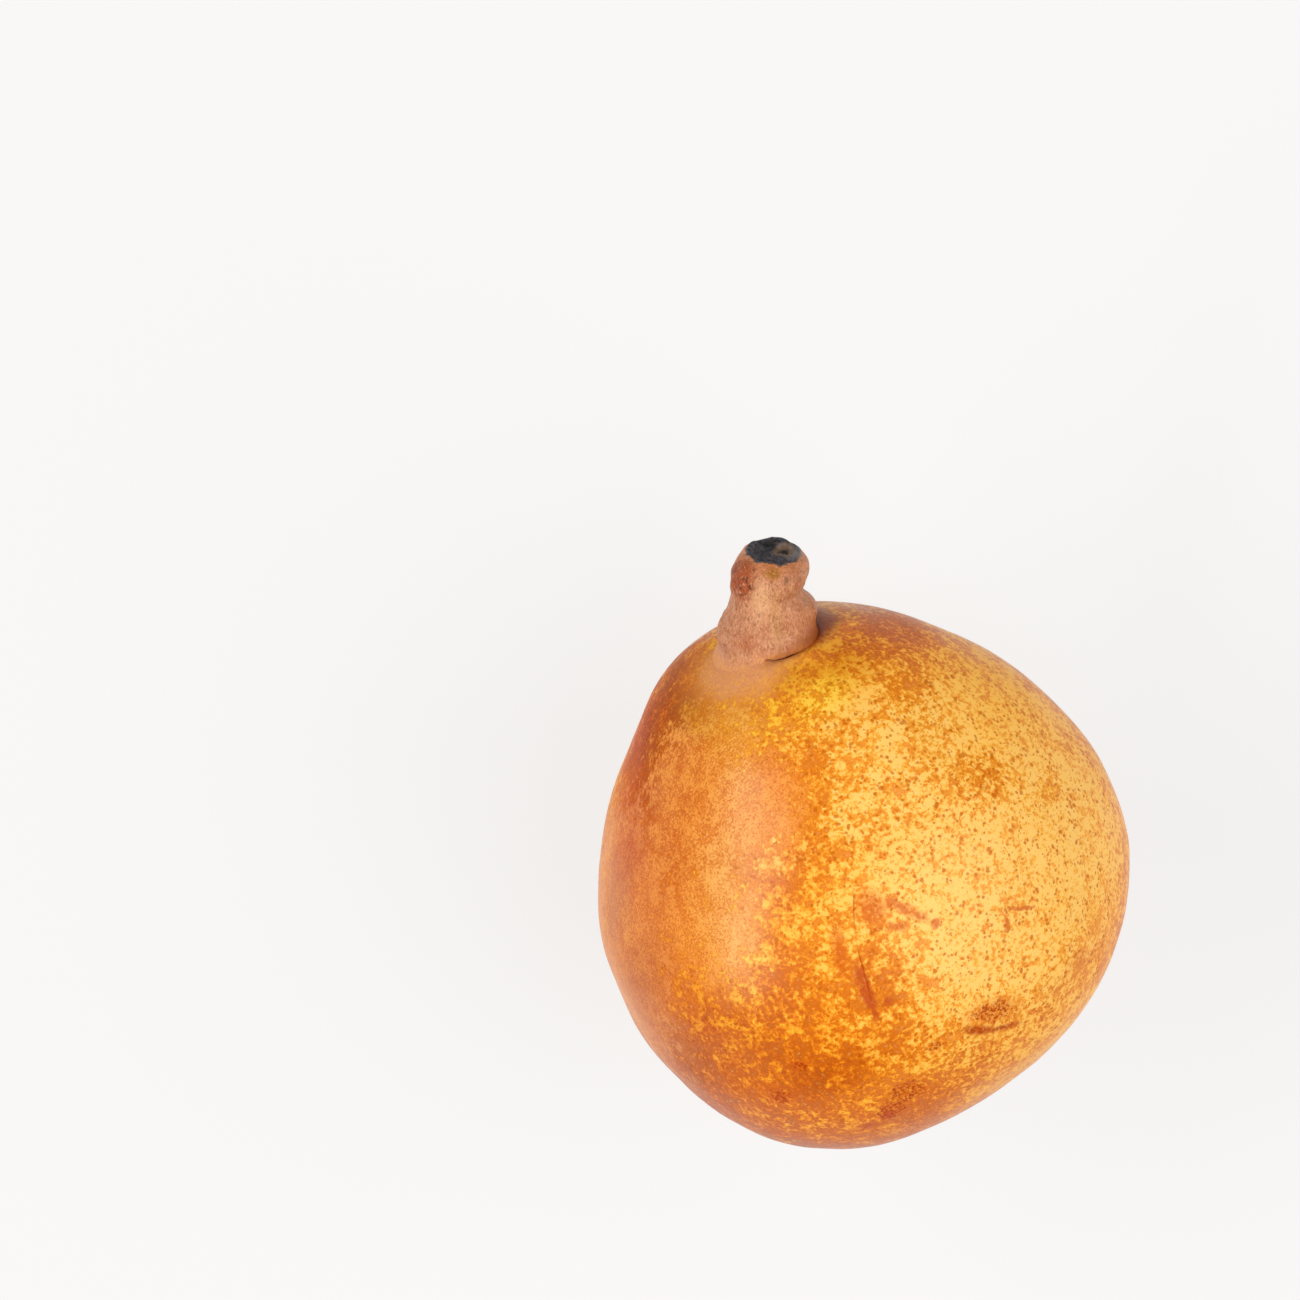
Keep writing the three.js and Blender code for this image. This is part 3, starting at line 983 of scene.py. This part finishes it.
def stem_foot(azimuth):
    """Rings that leave the skin along it and turn up into the stem's side."""
    crease = creased(azimuth)
    flare = FLARE_REACH - FLARE_LEAN * np.cos(azimuth)
    reach = flare + (CREASE_REACH - flare) * crease
    start = skin_round_stem(reach, azimuth)
    inward = skin_round_stem(reach - FOOT_STEP, azimuth) - start
    crease = crease[:, None]
    leaving = inward * (1 - CREASE_OUT * crease) + (FOOT_LIFT + CREASE_LIFT * crease) * UPWARDS
    top = foot_top(azimuth)
    end = stem_side(top, azimuth)
    rising = stem_side(top + FOOT_STEP, azimuth) - end
    return bridge(start - FOOT_DEPTH * UPWARDS, leaving, end, rising, FOOT_RINGS)


def stem_trunk(azimuth):
    top = foot_top(azimuth)
    share = np.linspace(0, 1, SIDE_RINGS)[:, None]
    return stem_side(top + (STEM_HEIGHT - top) * share, azimuth + 0 * share)


def stem_cut(azimuth):
    """The cut end, with a low rim, a hollow and the pith's hole."""
    share = np.linspace(1, CUT_SMALLEST_RING, CUT_RINGS)[1:, None]
    rim = on_stem(np.float64(STEM_CUT_RADIUS), np.float64(STEM_HEIGHT), azimuth)
    middle = np.array([STEM_TOP_DRIFT, 0, 0])
    flat = middle + (rim - middle) * share[..., None]
    x, y = flat[..., 0] - STEM_TOP_DRIFT, flat[..., 1]
    bowl = CUT_LEVEL + (STEM_HEIGHT - CUT_LEVEL) * smooth(np.hypot(x, y), HOLLOW_RADIUS, RIM_RADIUS)
    hole = hump(np.hypot(x - PITH_PLACE[0], y - PITH_PLACE[1]), PITH_HOLE)
    level = bowl - hole + rough(flat, *CUT_LUMPS)
    return moved(np.stack([flat[..., 0], flat[..., 1], level], axis=-1), STEM_TO_FRUIT)


def rim_lobes(azimuth, own):
    """How far each point near the cut's rim is lifted along the stem."""
    lobes = RIM_TILT * np.sin(azimuth) - RIM_DROP
    for lobe in RIM_LOBES:
        lobes = lobes + hump(np.degrees(azimuth), lobe)
    off_middle = smooth(np.hypot(own[..., 0], own[..., 1]), *RIM_STARTS)
    return hump(own[..., 2], (1, STEM_HEIGHT, RIM_SPREAD)) * lobes * off_middle


def stem():
    azimuth = once_round(STEM_SIDES)
    grid = np.concatenate([stem_foot(azimuth), stem_trunk(azimuth), stem_cut(azimuth)])
    own = moved(grid, STEM_TO_FRUIT.inverted())
    ridges = rough(own * RIDGE_STRETCH, RIDGES) + rough(own, LUMPS)
    above_skin = smooth(np.arange(len(grid)), BURIED_RINGS, FOOT_RINGS)[:, None]
    up_stem = np.array(STEM_TO_FRUIT.to_3x3())[:, 2]
    grid = grid + outward(grid) * (ridges * above_skin)[..., None]
    grid = grid + up_stem * rim_lobes(azimuth[None, :], own)[..., None]
    vertices, faces = closed_grid(moved(grid, FRUIT_TO_ROW))
    mesh_piece("pear_stem", vertices, faces, stem_material(), "stem")


# -------- the stem's material

# Areas in the stem's own frame: middle, half sizes, edge, colour, strength.
BARK_AREAS = {
    "bulge": ((4.6, -4.4, 4.6), (4.0, 4.4, 4.4), 0.2, BARK_TAWNY, 0.5),
    # A painted highlight: a pale streak down the front of the stem's waist.
    "painted waist highlight": ((-2.0, -5.0, 9.0), (2.4, 2.8, 4.4), 0.1, BARK_PALE, 0.75),
    "greenish strip": ((0.0, -6.0, 6.6), (1.5, 2.6, 6.5), 0.1, BARK_GREEN, 0.45),
    "collar": ((0.0, -2.4, 13.3), (6.4, 5.4, 1.6), 0.3, BARK_TAWNY, 0.6),
    "knob": ((-5.2, -2.4, 11.8), (3.5, 4.8, 4.2), 0.5, BARK_ORANGE, 0.95),
    "blotch": ((-0.4, -4.8, 13.0), (1.7, 1.8, 1.2), 0.3, OLIVE, 0.95),
    "dimple": ((1.4, -5.0, 12.0), (0.6, 1.2, 0.8), 0.3, BARK_DARK, 0.7),
}
PITH_MIDDLE = (PITH_PLACE[0] + STEM_TOP_DRIFT, PITH_PLACE[1], 13.4)
CUT_AREAS = {
    "grey side": ((3.6, -0.8, 13.8), (2.0, 2.6, 2.4), 0.2, CUT_ASH, 0.8),
    # Painted shadow: black in the dip between the rim's two lobes.
    "hollow": ((0.7, 2.8, 13.8), (2.1, 0.9, 2.0), 0.3, CUT_BLACK, 0.95),
    "ring": (PITH_MIDDLE, (1.8, 1.8, 3.0), 0.6, PITH, 0.85),
}
PITH_HOLE_SIZES = (1.1, 1.1, 3.0)


def painted_areas(g, where, base, areas):
    """base with all the areas painted over it, and their masks by name."""
    masks = {}
    for name, (middle, reach, edge, shade, strength) in areas.items():
        masks[name] = g.spot(where, middle, reach, edge)
        base = g.painted(base, shade, masks[name], strength)
    return base, masks


def bark_colour(g, own, torn):
    """Corky tan bark, orange and cracked under the cut, with fine dark and pale specks."""
    grain = g.noise(g.vector_math("MULTIPLY", own, (1.0, 1.0, 0.6)), 2.6, 0.7, 4.0)
    tint = g.noise(own, 0.3, 0.6)
    bark = g.mix(g.step(grain, 0.38, 0.66), BARK, BARK_PINK)
    bark = g.painted(bark, BARK_ORANGE, g.step(tint, 0.48, 0.68), 0.45)
    bark, masks = painted_areas(g, torn, bark, BARK_AREAS)

    wrinkled = g.vector_math("MULTIPLY", warped(g, own, 1.2, 0.4), (1.0, 1.0, 1.8))
    cracks = g.step(g.noise(wrinkled, 1.1, 0.65, 4.0), 0.45, 0.38)
    cracks = g.times(cracks, g.scaled(masks["knob"], 0.75, 0.15))
    bark = g.mix(cracks, bark, BARK_DARK)
    specks = g.noise(g.vector_math("MULTIPLY", own, (1.0, 1.0, 0.4)), 3.8, 0.8)
    bark = g.painted(bark, BARK_DARK, g.step(specks, 0.54, 0.64), 0.65)
    bark = g.painted(bark, BARK_PALE, g.step(specks, 0.44, 0.34), 0.7)
    relief = added(g, 0.0, [(grain, 0.6), (specks, -0.9), (cracks, -0.6)])
    return bark, grain, relief


def cut_colour(g, own, torn):
    """The charred end: blue-grey with black specks, a black painted shadow in the dip of its rim, a black
    pith hole and a brown ring round it.
    """
    clouds = g.noise(own, 0.9, 0.65, 4.0)
    cut = g.mix(g.step(clouds, 0.4, 0.6), CUT_BLUE, CUT_GREY)
    grain = g.noise(own, 2.6, 0.7)
    cut = g.painted(cut, CUT_BROWN, g.step(grain, 0.5, 0.62), 0.6)
    cut = g.painted(cut, CUT_BLACK, g.step(grain, 0.45, 0.38), 0.7)
    cut, _ = painted_areas(g, torn, cut, CUT_AREAS)
    hole = g.spot(own, PITH_MIDDLE, PITH_HOLE_SIZES, 0.4)
    return g.painted(cut, CUT_BLACK, hole, 0.92), clouds


def stem_material():
    g = Graph(bpy.data.materials.new("stem_bark"))
    where = g.place(FRUIT_TO_ROW)
    own = g.place(STEM_TO_ROW)
    torn = warped(g, own, 0.8, 0.5)
    bark, grain, bark_relief = bark_colour(g, own, torn)
    cut, cut_clouds = cut_colour(g, own, torn)
    ragged = warped(g, own, 1.1, 0.8, 4.0)
    on_top = g.spot(ragged, (0.9, -0.1, 15.0), (4.7, 4.7, 2.3), 0.88)
    bark = g.mix(on_top, bark, cut)
    bark = shaded(g, bark, g.noise(own, 4.0, 0.7), 0.1)

    level = g.level(warped(g, where, 0.5, 1.2))
    above_skin = g.step(level, SEAT.z + 0.4, SEAT.z + 2.8)
    bark = g.mix(above_skin, tan_skin(g, where), bark)
    # Painted shade in the crease under the stem's bulge, on the stem's foot too.
    bark = g.painted(bark, PAINTED_CREASE_SHADE, crease_shade_mask(g, where), CREASE_SHADE)
    roughness = g.scaled(grain, 0.16, 0.32)
    relief = added(g, bark_relief, [(cut_clouds, 0.6)])
    relief = g.times(relief, g.scaled(above_skin, 0.7, 0.3))
    gloss = g.scaled(above_skin, 0.47, 0.08)
    return g.finish(bark, roughness, relief, BARK_RELIEF, gloss)


# -------- the calyx

SEPAL_LENGTHS = [5.2, 4.7, 5.4, 4.9, 5.1]
SEPAL_CURLS_DEG = [78, 62, 84, 70, 58]
SEPAL_WIDTH = 3.0
SEPAL_THICKNESS = 0.5
SEPAL_RING_RADIUS = 2.6
SEPAL_SINK = 0.25
FIRST_SEPAL_DEG = 18
SEPAL_SPACING_DEG = 360 / len(SEPAL_LENGTHS)
SEPAL_RINGS = 44
SEPAL_SIDES = 28

# How a sepal's blade narrows to its tip, bellies out on the way, thins, cups and twists.
SEPAL_POINT = 1.6
SEPAL_SHOULDER = 0.85
SEPAL_BELLY = 0.3
SEPAL_TIP = 0.06
SEPAL_THINNING = 0.6
SEPAL_CUP = 0.35
SEPAL_TWIST = 0.5
TWIST_STEP = 2.1

# Its crinkles: size, height, and the seed of the first sepal.
SEPAL_CRINKLES = [(1.1, 0.34, 20), (0.4, 0.12, 30)]

STAMEN_COUNT = 20
STAMEN_SIDES = 8
STAMEN_RINGS = 14
STAMEN_RADIUS = 0.13
STAMEN_LENGTH = 2.3
TUFT_RADIUS = 0.85
TUFT_SINK = 0.3
GOLDEN_TURN = math.radians(137.5)

# How the threads differ: the outer ones are shorter and splay, and all vary, bend and sway.
OUTER_SHORTER = 0.5
OUTER_SPLAY = 0.35
LENGTH_VARIES = 0.25
STAMEN_BEND = 0.12
STAMEN_SWAY = 0.18

# A stamen's tip swells: how much, where along it, spread.
STAMEN_TIP = (0.9, 0.93, 0.06)


def sepal(number, material):
    """A dried leaf that stands up from the basin and curls away from the core."""
    curl = math.radians(SEPAL_CURLS_DEG[number])
    bend = SEPAL_LENGTHS[number] / curl
    t = np.linspace(0, 1, SEPAL_RINGS)[:, None]
    turn = once_round(SEPAL_SIDES)[None, :]
    angle = curl * t
    blade = (1 - t**SEPAL_POINT) * (SEPAL_SHOULDER + SEPAL_BELLY * np.sin(math.pi * t))
    across = (SEPAL_WIDTH / 2 * blade + SEPAL_TIP) * np.cos(turn)
    thick = SEPAL_THICKNESS / 2 * (1 - SEPAL_THINNING * t)
    cup = SEPAL_CUP * (across / (SEPAL_WIDTH / 2)) ** 2 * (1 + t)
    twist = SEPAL_TWIST * across * t * math.sin(TWIST_STEP * number + 1)
    rise = thick * np.sin(turn) + cup + twist
    x = SEPAL_RING_RADIUS + bend - (bend + rise) * np.cos(angle)
    z = (bend + rise) * np.sin(angle) - SEPAL_SINK
    grid = np.stack([x, across, z], axis=-1)
    layers = [(size, height, seed + number) for size, height, seed in SEPAL_CRINKLES]
    grid = grid + crinkle_offset(angle, rough(grid, *layers), t)
    spoke = Matrix.Rotation(math.radians(FIRST_SEPAL_DEG + number * SEPAL_SPACING_DEG), 4, "Z")
    vertices, faces = closed_grid(moved(grid, CALYX_TO_ROW @ spoke))
    name = f"sepal_{number + 1}"
    mesh_piece("dried_" + name, vertices, faces, material, name)


def crinkle_offset(angle, crinkle, t):
    """Pushes both faces of the blade the same way, so that it stays thin."""
    push = crinkle * np.minimum(1, 4 * t)
    return np.stack([-np.cos(angle) * push, 0 * push, np.sin(angle) * push], axis=-1)


def dried_material(name, pale, brown, dark, per_mm):
    """Dry, crinkled leaf matter."""
    g = Graph(bpy.data.materials.new(name))
    where = g.place(CALYX_TO_ROW)
    streaks = g.noise(where, per_mm, 0.65, 4.0)
    blotches = g.noise(where, per_mm / 4, 0.6)
    dry = g.mix(g.step(streaks, 0.4, 0.6), brown, pale)
    dry = g.mix(g.step(blotches, 0.5, 0.62), dry, dark)
    roughness = g.scaled(streaks, 0.25, 0.6)
    return g.finish(dry, roughness, streaks, DRIED_RELIEF)


def stamen(number):
    """One dried thread with a swollen tip, as a grid of rings in the calyx's frame."""
    share = (number + 0.5) / STAMEN_COUNT
    turn = number * GOLDEN_TURN
    foot = TUFT_RADIUS * math.sqrt(share)
    length = STAMEN_LENGTH - OUTER_SHORTER * share + LENGTH_VARIES * math.sin(5 * number)
    t = np.linspace(0, 1, STAMEN_RINGS)[:, None]
    lean = foot + OUTER_SPLAY * share * t + STAMEN_BEND * np.sin(3 * t + number)
    sway = STAMEN_SWAY * np.sin(4 * t + 2.3 * number)
    x = lean * math.cos(turn) - sway * math.sin(turn)
    y = lean * math.sin(turn) + sway * math.cos(turn)
    radius = STAMEN_RADIUS * (1.2 - 0.5 * t) * (1 + hump(t, STAMEN_TIP))
    round_it = once_round(STAMEN_SIDES)[None, :]
    z = length * t - TUFT_SINK + 0 * round_it
    return np.stack([x + radius * np.cos(round_it), y + radius * np.sin(round_it), z], axis=-1)


def stamens():
    """The whole tuft as one mesh."""
    vertices, faces = [], []
    for number in range(STAMEN_COUNT):
        points, made = closed_grid(moved(stamen(number), CALYX_TO_ROW))
        faces += [tuple(k + len(vertices) for k in face) for face in made]
        vertices += points.tolist()
    material = dried_material("dried_stamens", STAMEN_PALE, SEPAL_BROWN, SEPAL_DARK, 3.0)
    mesh_piece("dried_stamens", np.array(vertices), faces, material, "stamens")


def calyx():
    material = dried_material("dried_sepal", SEPAL_PALE, SEPAL_BROWN, SEPAL_DARK, 2.2)
    for number in range(len(SEPAL_LENGTHS)):
        sepal(number, material)
    stamens()


# -------- the stage

# Directions are given in the picture: 0 degrees is to its right and 90 is up, seen from above.
PICTURE_TURN = math.radians(-23.5)
CAMERA_PLACE = Vector((-13.7, 40.5, 560.7))
LENS = 100
SENSOR = 36

# The floor glows a little, as a light table does, so that shadows on it stay faint.
FLOOR_HALF = 4000
FLOOR_COLOUR = (0.11, 0.111, 0.112, 1.0)
FLOOR_GLOW = (1.0, 0.985, 0.975, 1.0)
FLOOR_GLOW_LEVEL = 0.76

SURROUND_COLOUR = (1.0, 0.99, 0.985, 1.0)
SURROUND_TOP = 0.9
LIGHT_DISTANCE = 3.0


def camera():
    data = bpy.data.cameras.new("camera")
    data.lens = LENS
    data.sensor_width = SENSOR
    data.clip_start = 0.01
    data.clip_end = 50
    made = in_scene("camera", data)
    made.location = CAMERA_PLACE * MM
    made.rotation_euler = Euler((0, 0, PICTURE_TURN))
    bpy.context.scene.camera = made


def floor_material():
    g = Graph(bpy.data.materials.new("floor"))
    glow = {"Emission Color": FLOOR_GLOW, "Emission Strength": FLOOR_GLOW_LEVEL}
    paper = g.node("BsdfPrincipled", {"Base Color": FLOOR_COLOUR, "Roughness": 0.9, **glow})
    g.node("OutputMaterial", {"Surface": paper})
    return g.owner


def floor():
    half = FLOOR_HALF * MM
    corners = [(-half, -half, 0), (half, -half, 0), (half, half, 0), (-half, half, 0)]
    mesh = bpy.data.meshes.new("floor")
    mesh.from_pydata(corners, [], [(0, 1, 2, 3)])
    mesh.materials.append(floor_material())
    in_scene("floor", mesh)


def softbox(name, azimuth_deg, elevation_deg, width, length, power, tint, roll_deg=0):
    """A rectangular light that faces the fruit. Its length is level, and its sizes are in metres."""
    data = bpy.data.lights.new(name, "AREA")
    data.shape = "RECTANGLE"
    data.size = length
    data.size_y = width
    data.energy = power
    data.color = tint
    azimuth = math.radians(azimuth_deg) + PICTURE_TURN
    elevation = math.radians(elevation_deg)
    level = math.cos(elevation)
    away = Vector((level * math.cos(azimuth), level * math.sin(azimuth), math.sin(elevation)))
    made = in_scene(name, data)
    made.location = MIDDLE * MM + away * LIGHT_DISTANCE
    aimed = away.to_track_quat("Z", "Y") @ Quaternion((0, 0, 1), math.radians(roll_deg))
    made.rotation_euler = aimed.to_euler()


def surround(horizon, zenith, seen):
    """A pale surround that is brighter overhead. seen is how it looks straight to the camera."""
    g = Graph(bpy.data.worlds.new("surround"))
    direction = g.node("TexCoord", {}, output="Generated")
    level = g.scaled(g.step(g.level(direction), 0.0, SURROUND_TOP), zenith - horizon, horizon)
    camera_ray = g.node("LightPath", {}, output="Is Camera Ray")
    strength = g.node("Mix", {0: camera_ray, 2: level, 3: seen})
    light = g.node("Background", {"Color": SURROUND_COLOUR, "Strength": strength})
    g.node("OutputWorld", {"Surface": light})
    bpy.context.scene.world = g.owner


def lights():
    """A long strip on the left, a large box on the right, and a faint surround."""
    surround(horizon=0.16, zenith=0.26, seen=0.92)
    strip_tint, box_tint = (1.0, 0.98, 0.96), (1.0, 0.985, 0.97)
    softbox("left_strip", 185, 43, width=0.2, length=3.8, power=100, tint=strip_tint, roll_deg=-11)
    softbox("right_box", -12, 50, width=3.2, length=3.2, power=110, tint=box_tint)


# -------- everything together

bpy.context.scene.view_settings.view_transform = "Standard"
camera()
floor()
lights()

fruit()
stem()
calyx()
